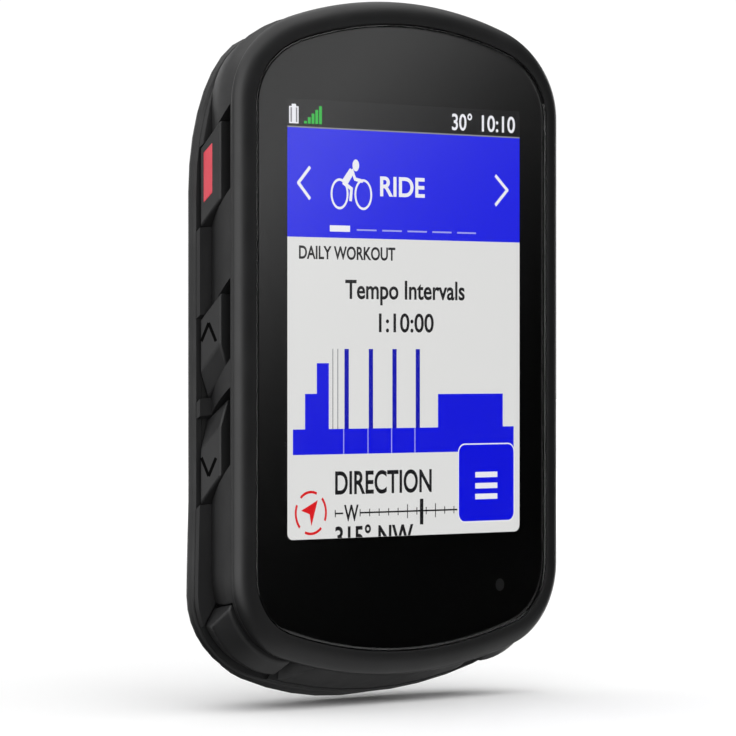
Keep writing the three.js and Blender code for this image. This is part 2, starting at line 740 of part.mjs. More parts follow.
addPart("touch_film", block(-21.8, 21.8, 0.72, 0.78, -26.5, 32.2), "panel");
const { halfWidth: panelHalf, bottom: panelBottom, top: panelTop } = DISPLAY;
addPart("display_panel", block(-panelHalf, panelHalf, DISPLAY.front, DISPLAY.rear, panelBottom, panelTop), "panel");
const { margin } = BACKLIGHT;
addPart(
  "backlight",
  block(
    -panelHalf + margin,
    panelHalf - margin,
    BACKLIGHT.front,
    BACKLIGHT.rear,
    panelBottom + margin,
    panelTop - margin,
  ),
  "panel",
);
addPart("display_ribbon", displayRibbon(), "ribbon");
addPart("support_frame", supportFrame(), "steel");
addPart("light_sensor", block(15.8, 17.8, DISPLAY.front, 1.6, -29.85, -27.85), "chip");

addPart("main_board", mainBoard(), "board");
addPart("ribbon_connector", block(-7, 7, 4.98, 5.92, -29.4, -26.8), "chip");
addPart("shield_can", shieldCan(), "steel");
addPart("satellite_antenna", block(-6, 6, 7.05, 10.4, 23.9, 35.2), "ceramic");
addPart("radio_antenna", block(11, 15.5, 7.05, 8.2, 31.5, 33.3), "ceramic");
addPart("pressure_sensor", block(-13.2, -10.6, 7.05, 8.2, -32.2, -29.6), "steel");
addPart("buzzer", rod(4.4, 13, -29.5, 7.05, 8.9, 24), "chip");
addPart("battery", block(-15, 15, 9.9, 14.9, -20.5, 23.4), "cell");
addPart("battery_pad", block(-13, 13, 14.97, 15.33, -18, 21), "rubber");
addPart("battery_lead", block(-14, -10, 7.05, 11.5, 23.52, 23.8), "ribbon");
addPart("usb_socket", usbSocket(), "steel");
addPart("vent_membrane", rod(3.1, 0, VENT.z, 15.0, 15.33, 20), "rubber");
addPart("port_cover", portCover(), "rubber");

addPart("mount_insert", mountInsert(), "housing");
insertScrewPlaces().forEach(([x, z], i) =>
  addPart(`insert_screw_${i + 1}`, screw(x, z, 15.6, DEPTH - 1.2, DEPTH - 0.15, 1.4, 0.68), "steel"),
);
SCREW_POSTS.forEach(([x, z], i) =>
  addPart(
    `case_screw_${i + 1}`,
    screw(
      x,
      z,
      CASE_SCREW.tip,
      CASE_SCREW.seat + GAP,
      CASE_SCREW.seat + CASE_SCREW.head,
      CASE_SCREW.headRadius,
      CASE_SCREW.shankRadius - 0.05,
    ),
    "steel",
  ),
);

export default root;
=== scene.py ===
"""Cycling computer: looks, screen graphics, stage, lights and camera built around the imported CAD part."""

import math

import bmesh
import bpy
from mathutils import Matrix, Vector


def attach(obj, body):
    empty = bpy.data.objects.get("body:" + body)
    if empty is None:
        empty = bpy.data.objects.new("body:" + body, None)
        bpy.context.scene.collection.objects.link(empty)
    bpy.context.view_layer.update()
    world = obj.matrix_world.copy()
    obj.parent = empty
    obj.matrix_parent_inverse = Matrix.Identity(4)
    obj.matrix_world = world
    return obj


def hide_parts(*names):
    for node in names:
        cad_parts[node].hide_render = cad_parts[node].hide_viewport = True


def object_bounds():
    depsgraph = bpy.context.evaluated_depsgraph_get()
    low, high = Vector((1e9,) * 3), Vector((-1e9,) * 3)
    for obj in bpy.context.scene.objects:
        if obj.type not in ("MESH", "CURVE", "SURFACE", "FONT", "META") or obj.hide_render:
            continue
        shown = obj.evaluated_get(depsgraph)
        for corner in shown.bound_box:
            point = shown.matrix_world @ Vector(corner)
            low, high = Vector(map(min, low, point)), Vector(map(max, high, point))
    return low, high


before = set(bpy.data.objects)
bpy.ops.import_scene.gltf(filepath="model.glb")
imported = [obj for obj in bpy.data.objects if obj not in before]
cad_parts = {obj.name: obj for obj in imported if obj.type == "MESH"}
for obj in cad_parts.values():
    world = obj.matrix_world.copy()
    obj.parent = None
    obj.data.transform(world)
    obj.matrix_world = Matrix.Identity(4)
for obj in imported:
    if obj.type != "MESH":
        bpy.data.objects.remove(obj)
CAD_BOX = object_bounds()

# ---- Driving dimensions, in millimetres. Depth is measured from the bezel's front towards the mount. ----
MM = 0.001
DEPTH = 19.6  # bezel front to the rear face of the mount insert

BEZEL = {
    "top": {"z": 42.75, "half": 27.8, "arch": 65, "rx": 15, "rz": 11.5},
    "bottom": {"z": -39.2, "half": 27.8, "arch": 72, "rx": 10.7, "rz": 10.5},
}
FINE = {"arch": 18, "corner": 30, "side": 6}

BOTTOM_LIP = 1.04  # an inset is this much wider along the lower end
LIP = {"width": 2.75, "height": 1.35}  # the bezel's section is a quarter ellipse
GLASS_INSET = 2.87
GLASS_FRONT = 0.05
GLASS_REAR = 0.6
MASK_DEPTH = 0.615
MASK_THICK = 0.01
SCREEN_DEPTH = 0.66
INK_STEP = 0.008  # each layer of screen graphics lies this much nearer the glass
INK_THICK = 0.004

SCREEN = {"left": -19.68, "right": 20.38, "top": 30.2, "bottom": -22.3}
SCREEN_SHIFT = 0.35  # graphics sit below the glass, which shifts them to the left in the picture

BUTTON = {"front": 3.5, "rear": 6.8, "face": 27.65, "lean": 0.25, "base": 25.6, "tip_drop": 1.2}
STEM = {"depth": 4.9, "radius": 0.8, "end": 22.5}
UPPER = {"top": (7.05, 3.9), "facet": (1.1, -2.3), "bottom": (-2.05, -5.5), "tip": "bottom", "stem": 1.0}
LOWER = {"top": (-5.5, -8.0), "facet": (-8.7, -11.7), "bottom": (-14.6, -18.1), "tip": "top", "stem": -12.4}
POWER = {"top": (27.5, 24.2), "facet": None, "bottom": (18.1, 14.8), "tip": None, "stem": 21.1}
SIDE_BUTTONS = {
    "power": (-1, POWER),
    "up": (-1, UPPER),
    "down": (-1, LOWER),
    "enter": (1, UPPER),
    "back": (1, LOWER),
}
CORNER = {
    "angle": math.radians(55),
    "half_length": 6.0,
    # Depth, radius from the centre of the bezel's corner, and shift along the button.
    "stations": ((2.4, 10.9, 0.0), (4.7, 12.4, -0.6), (6.7, 11.8, -1.3)),
    "base": 8.3,
    "stem_end": 5.35,
}

VIEW_ANGLE = math.radians(44.56)  # the camera stands this far to the left of the screen's normal
VIEW_DISTANCE = 550.5
VIEW_OFFSET = 4.7  # the screen's centre lies this far to the right of the camera's axis
VIEW_HEIGHT = -0.75
VIEW_DROP = 1.1  # the axis passes this far below the camera's own height at the object
LENS = 221.0


# ---- Stage, in metres and watts ----
FLOOR_SIZE = 4.2  # half its width, less than the distance at which an orbiting camera stops seeing
FLOOR_GAP = 0.0003  # below the object's lowest point
BACKDROP_RADIUS = 4.2
BACKDROP_GLOW = 1.05
CARD_SIZE = 0.36
CARD_DISTANCE = 0.9
CARD_FADE = 6.15  # steps of the fade across the card's diagonal
CARD_SHIFT = 1.796
CARD_LEVEL = 0.62
WORLD_LIGHT = 0.005
SUN_STRENGTH = 3.0
SUN_ANGLE = math.radians(110)
LAMP_AIM = (0, -0.01, 0)
# Name, place, width, power and height; a lamp with no height is square.
LAMPS = (
    ("left_soft", (-0.85, -0.65, 0.12), 1.3, 9.5, 1.3),
    ("front_left", (-0.35, -1.0, 0.1), 0.45, 2.0, 1.2),
    ("left_back", (-0.9, 0.6, 0.1), 0.9, 4.2, 1.2),
    ("right_soft", (1.0, 0.5, -0.02), 0.7, 3.0, None),
    ("back_soft", (0.15, 1.1, -0.02), 0.9, 5.0, None),
    ("table_bounce", (0.35, -0.15, -0.5), 0.8, 1.1, None),
)


# ---- Node materials ----
def new_material(name):
    material = bpy.data.materials.new(name)
    material.use_nodes = True
    nodes = material.node_tree.nodes
    return material, nodes, material.node_tree.links, nodes["Principled BSDF"]


def noise(nodes, links, scale, detail=4.0, rough=0.55):
    """A noise field in object coordinates; scale is in features per metre."""
    coords = nodes.new("ShaderNodeTexCoord")
    texture = nodes.new("ShaderNodeTexNoise")
    texture.inputs["Scale"].default_value = scale
    texture.inputs["Detail"].default_value = detail
    texture.inputs["Roughness"].default_value = rough
    links.new(coords.outputs["Object"], texture.inputs["Vector"])
    return texture.outputs["Fac"]


def ramp(nodes, links, source, low, high, start=0.3, end=0.7):
    """Turns a field into a blend of two colours or two grey values."""
    node = nodes.new("ShaderNodeValToRGB")
    node.color_ramp.elements[0].position = start
    node.color_ramp.elements[1].position = end
    for element, value in zip(node.color_ramp.elements, (low, high)):
        element.color = (*value, 1) if isinstance(value, tuple) else (value, value, value, 1)
    links.new(source, node.inputs["Fac"])
    return node.outputs["Color"]


def bump(nodes, links, source, strength, distance):
    node = nodes.new("ShaderNodeBump")
    node.inputs["Strength"].default_value = strength
    node.inputs["Distance"].default_value = distance
    links.new(source, node.inputs["Height"])
    return node.outputs["Normal"]


def moulded(name, dark, light, rough=(0.42, 0.56), grain=5200, depth=0.000012, strength=0.35, specular=0.5):
    """Moulded plastic or rubber: slow colour drift, patchy gloss and a fine spark-eroded grain."""
    material, nodes, links, shader = new_material(name)
    drift = noise(nodes, links, 60, 3)
    fine = noise(nodes, links, grain, 2, 0.6)
    links.new(ramp(nodes, links, drift, dark, light), shader.inputs["Base Color"])
    links.new(ramp(nodes, links, noise(nodes, links, 260, 5), rough[0], rough[1]), shader.inputs["Roughness"])
    links.new(bump(nodes, links, fine, strength, depth), shader.inputs["Normal"])
    shader.inputs["Specular IOR Level"].default_value = specular
    return material


def brushed(name, dark, light, rough=(0.24, 0.4), stretch=(40, 40, 4000)):
    """Brushed metal: noise stretched along one direction in colour, gloss and relief."""
    material, nodes, links, shader = new_material(name)
    coords = nodes.new("ShaderNodeTexCoord")
    mapping = nodes.new("ShaderNodeMapping")
    mapping.inputs["Scale"].default_value = stretch
    texture = nodes.new("ShaderNodeTexNoise")
    texture.inputs["Scale"].default_value = 1.0
    texture.inputs["Detail"].default_value = 6
    links.new(coords.outputs["Object"], mapping.inputs["Vector"])
    links.new(mapping.outputs["Vector"], texture.inputs["Vector"])
    lines = texture.outputs["Fac"]
    links.new(ramp(nodes, links, lines, dark, light), shader.inputs["Base Color"])
    links.new(ramp(nodes, links, lines, rough[0], rough[1]), shader.inputs["Roughness"])
    links.new(bump(nodes, links, lines, 0.2, 0.000008), shader.inputs["Normal"])
    shader.inputs["Metallic"].default_value = 1.0
    return material


def clear_glass(name):
    """Hard polished glass with a faint, slowly varying tint."""
    material, nodes, links, shader = new_material(name)
    tint = ramp(nodes, links, noise(nodes, links, 25, 2), (0.985, 0.99, 0.99), (1, 1, 1))
    links.new(tint, shader.inputs["Base Color"])
    shader.inputs["Transmission Weight"].default_value = 1.0
    shader.inputs["IOR"].default_value = 1.5
    shader.inputs["Roughness"].default_value = 0.0
    return material


def ink_black(name):
    """The printed black border behind the glass."""
    material, nodes, links, shader = new_material(name)
    grain = noise(nodes, links, 900, 3)
    colour = ramp(nodes, links, grain, (0.0002, 0.0002, 0.0002), (0.0005, 0.0005, 0.0005))
    links.new(colour, shader.inputs["Base Color"])
    shader.inputs["Roughness"].default_value = 0.6
    shader.inputs["Specular IOR Level"].default_value = 0.1
    return material


def lit_pixels(name, colour, strength=1.0):
    """Lit display pixels: even light from a dark cell structure."""
    material, nodes, links, shader = new_material(name)
    coords = nodes.new("ShaderNodeTexCoord")
    cells = nodes.new("ShaderNodeTexVoronoi")
    cells.distance = "CHEBYCHEV"
    cells.inputs["Scale"].default_value = 6140
    cells.inputs["Randomness"].default_value = 0.0
    links.new(coords.outputs["Object"], cells.inputs["Vector"])
    cell, gap = (0.012, 0.012, 0.014), (0.002, 0.002, 0.002)
    mosaic = ramp(nodes, links, cells.outputs["Distance"], cell, gap, 0.38, 0.46)
    links.new(mosaic, shader.inputs["Base Color"])
    shader.inputs["Roughness"].default_value = 0.6
    shader.inputs["Specular IOR Level"].default_value = 0.2
    shader.inputs["Emission Color"].default_value = (*colour, 1)
    shader.inputs["Emission Strength"].default_value = strength
    return material


def board_green(name):
    """Solder mask with copper tracks that show through as lighter lines."""
    material, nodes, links, shader = new_material(name)
    coords = nodes.new("ShaderNodeTexCoord")
    tracks = nodes.new("ShaderNodeTexBrick")
    tracks.inputs["Scale"].default_value = 420
    tracks.inputs["Color1"].default_value = (0.01, 0.05, 0.018, 1)
    tracks.inputs["Color2"].default_value = (0.008, 0.04, 0.014, 1)
    tracks.inputs["Mortar"].default_value = (0.03, 0.12, 0.04, 1)
    tracks.inputs["Mortar Size"].default_value = 0.03
    links.new(coords.outputs["Object"], tracks.inputs["Vector"])
    links.new(tracks.outputs["Color"], shader.inputs["Base Color"])
    links.new(ramp(nodes, links, noise(nodes, links, 500), 0.25, 0.4), shader.inputs["Roughness"])
    return material


def polyimide(name):
    """Amber flexible circuit with fine parallel tracks."""
    material, nodes, links, shader = new_material(name)
    coords = nodes.new("ShaderNodeTexCoord")
    waves = nodes.new("ShaderNodeTexWave")
    waves.inputs["Scale"].default_value = 900
    links.new(coords.outputs["Object"], waves.inputs["Vector"])
    amber = ramp(nodes, links, waves.outputs["Fac"], (0.32, 0.12, 0.02), (0.55, 0.24, 0.05))
    links.new(amber, shader.inputs["Base Color"])
    links.new(ramp(nodes, links, noise(nodes, links, 700), 0.25, 0.4), shader.inputs["Roughness"])
    return material


def studio_floor(name):
    """Pale table top."""
    material, nodes, links, shader = new_material(name)
    pale = ramp(nodes, links, noise(nodes, links, 4, 3), (0.93, 0.93, 0.93), (0.95, 0.95, 0.95))
    links.new(pale, shader.inputs["Base Color"])
    links.new(ramp(nodes, links, noise(nodes, links, 9), 0.6, 0.7), shader.inputs["Roughness"])
    shader.inputs["Specular IOR Level"].default_value = 0.2
    shader.inputs["Emission Color"].default_value = (1, 1, 1, 1)
    # The far table glows a little, where the lamps no longer reach it.
    coords = nodes.new("ShaderNodeTexCoord")
    distance = nodes.new("ShaderNodeVectorMath")
    distance.operation = "LENGTH"
    links.new(coords.outputs["Object"], distance.inputs[0])
    glow = nodes.new("ShaderNodeMapRange")
    glow.interpolation_type = "SMOOTHSTEP"
    glow.inputs["From Min"].default_value = 0.15
    glow.inputs["From Max"].default_value = 1.2
    glow.inputs["To Max"].default_value = 0.4
    links.new(distance.outputs["Value"], glow.inputs["Value"])
    links.new(glow.outputs["Result"], shader.inputs["Emission Strength"])
    return material


SATIN = moulded(
    "bezel_satin_plastic", (0.010, 0.010, 0.0103), (0.013, 0.013, 0.0134),
    (0.34, 0.42), 6500, 0.000008, 0.25,
)
CASE = moulded(
    "case_fine_texture_plastic", (0.011, 0.011, 0.0115), (0.015, 0.015, 0.0155),
    (0.46, 0.60), 4200, 0.000016, 0.4,
)
KEYS = moulded(
    "button_soft_plastic", (0.013, 0.013, 0.0135), (0.018, 0.018, 0.0185),
    (0.44, 0.56), 5200, 0.000012, 0.35,
)
RUBBER = moulded(
    "seal_rubber", (0.008, 0.008, 0.008), (0.013, 0.013, 0.013),
    (0.7, 0.85), 2600, 0.00002, 0.5, 0.3,
)
MARK = moulded(
    "button_mark_ink", (0.0006, 0.0006, 0.0006), (0.0015, 0.0015, 0.0015),
    (0.6, 0.7), 3000, 0.000004, 0.2, 0.04,
)
RED = moulded("power_inlay_red", (0.62, 0.045, 0.07), (0.74, 0.065, 0.095), (0.28, 0.36), 3000, 0.000006, 0.2)
CHIP = moulded("chip_epoxy", (0.012, 0.012, 0.013), (0.02, 0.02, 0.022), (0.5, 0.6), 6000, 0.00001, 0.4)
CERAMIC = moulded("antenna_ceramic", (0.46, 0.38, 0.22), (0.55, 0.46, 0.28), (0.6, 0.7), 3000, 0.00001, 0.4)
FOIL = moulded("battery_foil", (0.5, 0.5, 0.52), (0.62, 0.62, 0.64), (0.3, 0.42), 900, 0.00004, 0.4)
DIFFUSER = moulded("diffuser_film", (0.7, 0.7, 0.69), (0.78, 0.78, 0.77), (0.4, 0.5), 4000, 0.000004, 0.2)
STEEL = brushed("brushed_steel", (0.42, 0.42, 0.43), (0.62, 0.62, 0.63))
DARK_STEEL = brushed("blackened_steel", (0.05, 0.05, 0.052), (0.09, 0.09, 0.092))
BOARD = board_green("board_solder_mask")
RIBBON = polyimide("ribbon_polyimide")
GLASS = clear_glass("cover_glass_clear")
INK = ink_black("border_black_ink")
FLOOR = studio_floor("studio_floor_pale")

PAPER_WHITE = lit_pixels("screen_paper", (0.80, 0.80, 0.79), 0.98)
PURE_WHITE = lit_pixels("screen_white", (0.9, 0.9, 0.95), 1.0)
DIM_WHITE = lit_pixels("screen_pale_blue", (0.35, 0.36, 0.86), 1.0)
HEADER_BLUE = lit_pixels("screen_header_blue", (0.009, 0.012, 0.80), 1.0)
CHART_BLUE = lit_pixels("screen_chart_blue", (0.003, 0.005, 0.75), 1.0)
DEEP_BLUE = lit_pixels("screen_bar_blue", (0.002, 0.003, 0.42), 1.0)
TEXT_BLACK = lit_pixels("screen_text", (0.006, 0.006, 0.007), 1.0)
SIGNAL_GREEN = lit_pixels("screen_green", (0.02, 0.50, 0.05), 1.0)
COMPASS_RED = lit_pixels("screen_red", (0.72, 0.006, 0.010), 1.0)
STATUS_DARK = lit_pixels("screen_status", (0.0006, 0.0006, 0.0006), 1.0)
LINE_GREY = lit_pixels("screen_grey_line", (0.25, 0.25, 0.27), 1.0)


# ---- Mesh helpers ----
def at(x, depth, z):
    """A point in metres from x, depth and z in millimetres."""
    return Vector((x * MM, (depth - DEPTH) * MM, z * MM))


def new_object(name, mesh, body, material, smooth_angle=None):
    """Links a finished mesh as a piece of a body."""
    mesh.materials.clear()
    mesh.materials.append(material)
    if smooth_angle is not None:
        for polygon in mesh.polygons:
            polygon.use_smooth = True
        mesh.set_sharp_from_angle(angle=math.radians(smooth_angle))
    obj = bpy.data.objects.new(name, mesh)
    bpy.context.scene.collection.objects.link(obj)
    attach(obj, body)
    return obj


def flatten(obj):
    """Keeps large faces flat and leaves the shading gradient to the small ones beside them."""
    weighted = obj.modifiers.new("flat_faces", "WEIGHTED_NORMAL")
    weighted.mode = "FACE_AREA"
    weighted.weight = 100
    weighted.keep_sharp = True


def corner_join(end):
    """The angle on a corner ellipse where its slope meets that of the arched end."""
    low, high = 0.2, math.pi / 2
    for _ in range(40):
        angle = (low + high) / 2
        x = end["half"] - end["rx"] + end["rx"] * math.cos(angle)
        steeper = end["rz"] / end["rx"] / math.tan(angle) > x / math.sqrt(end["arch"] ** 2 - x * x)
        low, high = (angle, high) if steeper else (low, angle)
    return (low + high) / 2


def half_end(end, up):
    """Points on the +X side from the middle of an arched end to the end of its corner."""
    angle = corner_join(end)
    join_x = end["half"] - end["rx"] + end["rx"] * math.cos(angle)

    def drop(x):
        return end["arch"] - math.sqrt(end["arch"] ** 2 - x * x)

    centre_drop = drop(join_x) + end["rz"] * math.sin(angle)
    points = []
    for i in range(FINE["arch"]):
        x = join_x * i / FINE["arch"]
        points.append((x, end["z"] - up * drop(x)))
    for i in range(FINE["corner"] + 1):
        a = angle * (1 - i / FINE["corner"])
        x = end["half"] - end["rx"] + end["rx"] * math.cos(a)
        points.append((x, end["z"] - up * (centre_drop - end["rz"] * math.sin(a))))
    return points


def shrink(end, inset, up):
    inner = {key: end[key] - inset for key in ("half", "arch", "rx", "rz")}
    inner["z"] = end["z"] - up * inset * (1 if up > 0 else BOTTOM_LIP)
    return inner


def outline(shape, inset=0.0):
    """The closed outline of a shape, inset by a distance, as (x, z) points in order."""
    top = half_end(shrink(shape["top"], inset, 1), 1)
    bottom = half_end(shrink(shape["bottom"], inset, -1), -1)
    (x0, z0), (x1, z1) = top[-1], bottom[-1]
    steps = [i / FINE["side"] for i in range(1, FINE["side"])]
    side = [(x0 + (x1 - x0) * t, z0 + (z1 - z0) * t) for t in steps]
    right = top + side + bottom[::-1]
    left = [(-x, z) for x, z in reversed(right[1:-1])]
    return right + left


def skin(layers, ring):
    """A closed mesh through layers of (points, depth): a tube of rings, or a lofted body with flat ends."""
    bm = bmesh.new()
    rows = [[bm.verts.new(at(x, depth, z)) for x, z in points] for points, depth in layers]
    count = len(rows[0])
    pairs = list(zip(rows, rows[1:])) + ([(rows[-1], rows[0])] if ring else [])
    for a, b in pairs:
        for i in range(count):
            j = (i + 1) % count
            bm.faces.new((a[i], a[j], b[j], b[i]))
    if not ring:
        bm.faces.new(rows[0][::-1])
        bm.faces.new(rows[-1])
    return finished(bm)


def finished(bm):
    bmesh.ops.recalc_face_normals(bm, faces=bm.faces[:])
    mesh = bpy.data.meshes.new("piece")
    bm.to_mesh(mesh)
    bm.free()
    return mesh


def rounded_hull(points, radius, segments=4):
    """The convex hull of some points in metres, with its edges rounded off, as a bmesh."""
    bm = bmesh.new()
    for point in points:
        bm.verts.new(point)
    result = bmesh.ops.convex_hull(bm, input=bm.verts[:])
    loose = [v for v in result["geom_interior"] if isinstance(v, bmesh.types.BMVert)]
    bmesh.ops.delete(bm, geom=loose, context="VERTS")
    bmesh.ops.dissolve_limit(bm, angle_limit=math.radians(1), verts=bm.verts[:], edges=bm.edges[:])
    sharp = [e for e in bm.edges if e.calc_face_angle(0) > math.radians(12)]
    bmesh.ops.bevel(
        bm, geom=sharp, offset=radius * MM, segments=segments, profile=0.5, affect="EDGES", clamp_overlap=True
    )
    return bm


def add_rod(bm, start, end, radius, sides=24):
    """Adds a closed round rod between two points to a bmesh."""
    start, end = Vector(start), Vector(end)
    turn = Vector((0, 0, 1)).rotation_difference(end - start).to_matrix().to_4x4()
    place = Matrix.Translation((start + end) / 2) @ turn
    length = (end - start).length
    bmesh.ops.create_cone(
        bm,
        cap_ends=True,
        segments=sides,
        radius1=radius * MM,
        radius2=radius * MM,
        depth=length,
        matrix=place,
    )


# ---- Case pieces ----
def front_bezel():
    """The raised lip round the glass: rounded outside, with a fine edge beside the glass."""
    turns = [i * math.pi / 40 for i in range(21)]
    lip = [(LIP["width"] * (1 - math.sin(a)), LIP["height"] * (1 - math.cos(a))) for a in turns]
    rim = [(0.03, 1.44), (0.12, 1.5), (3.85, 1.5), (3.85, 0.85)]
    section = [(LIP["width"], 0.85), (LIP["width"], 0.1), (LIP["width"] - 0.02, 0.03), *lip[1:], *rim]
    mesh = skin([(outline(BEZEL, inset), depth) for inset, depth in section], ring=True)
    piece = new_object("bezel_lip", mesh, "case", SATIN, 40)
    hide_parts("front_bezel")


def cover_glass():
    section = [(0.3, GLASS_FRONT), (0.15, 0.075), (0.04, 0.15), (0.0, 0.26), (0.0, GLASS_REAR)]
    mesh = skin([(outline(BEZEL, GLASS_INSET + inset), depth) for inset, depth in section], ring=False)
    piece = new_object("lens", mesh, "case", GLASS, 30)
    for polygon in mesh.polygons:
        polygon.use_smooth = len(polygon.vertices) == 4
    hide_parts("cover_glass")


def border_print():
    """Black print behind the glass, with a window for the screen."""
    outer = outline(BEZEL, GLASS_INSET + 0.05)
    centre_x = (SCREEN["left"] + SCREEN["right"]) / 2
    centre_z = (SCREEN["top"] + SCREEN["bottom"]) / 2
    half_x = (SCREEN["right"] - SCREEN["left"]) / 2
    half_z = (SCREEN["top"] - SCREEN["bottom"]) / 2
    window = []
    for x, z in outer:
        # Each outer point looks towards the window's centre, and stops where it meets the window's edge.
        dx, dz = x - centre_x, z - centre_z
        reach = min(half_x / max(abs(dx), 1e-6), half_z / max(abs(dz), 1e-6))
        window.append((centre_x + dx * reach, centre_z + dz * reach))
    rear = MASK_DEPTH + MASK_THICK
    rows = [(outer, MASK_DEPTH), (outer, rear), (window, rear), (window, MASK_DEPTH)]
    new_object("border_print", skin(rows, ring=True), "case", INK)


def side_cap_points(side, shape):
    b = BUTTON
    points = []
    for k, (depth, half) in enumerate(((b["front"], b["face"]), (b["rear"], b["face"] + b["lean"]))):
        for end in ("top", "bottom"):
            drop = b["tip_drop"] if shape["tip"] == end else 0
            points.append(at(side * (half - drop), depth, shape[end][k]))
            points.append(at(side * b["base"], depth, shape[end][k]))
        if shape["facet"]:
            points.append(at(side * half, depth, shape["facet"][k]))
    return points


def side_buttons():
    for name, (side, shape) in SIDE_BUTTONS.items():
        bm = rounded_hull(side_cap_points(side, shape), 0.28)
        stem = [at(side * half, STEM["depth"], shape["stem"]) for half in (STEM["end"], BUTTON["base"] + 0.4)]
        add_rod(bm, *stem, STEM["radius"])
        piece = new_object(f"{name}_key", finished(bm), f"{name}_button", KEYS, 50)
        flatten(piece)
        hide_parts(f"{name}_button")


def corner_point(side, out, along, depth):
    """A point of a corner button: distance out of the bezel's corner centre, along the corner, and depth."""
    end = BEZEL["bottom"]
    angle = corner_join(end)
    centre_x = end["half"] - end["rx"]
    join_x = centre_x + end["rx"] * math.cos(angle)
    centre_z = end["z"] + end["arch"] - math.sqrt(end["arch"] ** 2 - join_x**2) + end["rz"] * math.sin(angle)
    c, s = math.cos(CORNER["angle"]), math.sin(CORNER["angle"])
    return at(side * (centre_x + out * c + along * s), depth, centre_z - out * s + along * c)


def corner_buttons():
    c = CORNER
    for name, side in (("lap", -1), ("start", 1)):
        points = []
        for depth, radius, shift in c["stations"]:
            for i in range(13):
                along = c["half_length"] * (i / 6 - 1) + shift
                out = math.sqrt(radius**2 - along**2)
                points.append(corner_point(side, out, along, depth))
                points.append(corner_point(side, c["base"], along, depth))
        bm = rounded_hull(points, 0.3)
        stem = [corner_point(side, out, 0, STEM["depth"]) for out in (c["stem_end"], c["base"] + 0.4)]
        add_rod(bm, *stem, STEM["radius"])
        piece = new_object(f"{name}_key", finished(bm), f"{name}_button", KEYS, 50)
        flatten(piece)
        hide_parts(f"{name}_button")


def face_half(depth):
    """Half width of a side button's face at a depth."""
    return BUTTON["face"] + BUTTON["lean"] * (depth - BUTTON["front"]) / (BUTTON["rear"] - BUTTON["front"])


def power_inlay():
    points = []
    for depth, top, bottom in ((4.75, 24.9, 18.9), (6.2, 23.7, 17.7)):
        for half in (BUTTON["face"] - 0.45, face_half(depth) + 0.05):
            points += [at(-half, depth, top), at(-half, depth, bottom)]
    hull = finished(rounded_hull(points, 0.12, 3))
    piece = new_object("power_inlay", hull, "power_button", RED, 50)
    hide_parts("power_stripe")


def chevron(name, body, side, tip_z, reach):
    """An arrow mark on a side button's face: two strokes that meet at tip_z."""
    middle, spread, stroke = 5.35, 1.17, 0.42
    bm = bmesh.new()
    for way in (-1, 1):
        ends = [(middle, tip_z), (middle + way * spread, tip_z - reach)]
        along = Vector((ends[1][0] - ends[0][0], ends[1][1] - ends[0][1])).normalized()
        across = Vector((-along.y, along.x)) * stroke / 2
        corners = []
        for depth, z in ends:
            for sign in (-1, 1):
                corners.append((depth + sign * across.x, z + sign * across.y))
        verts = []
        for lift in (-0.05, 0.02):
            for depth, z in corners:
                verts.append(bm.verts.new(at(side * (face_half(depth) + lift), depth, z)))
        bmesh.ops.convex_hull(bm, input=verts)
    new_object(name, finished(bm), body, MARK)


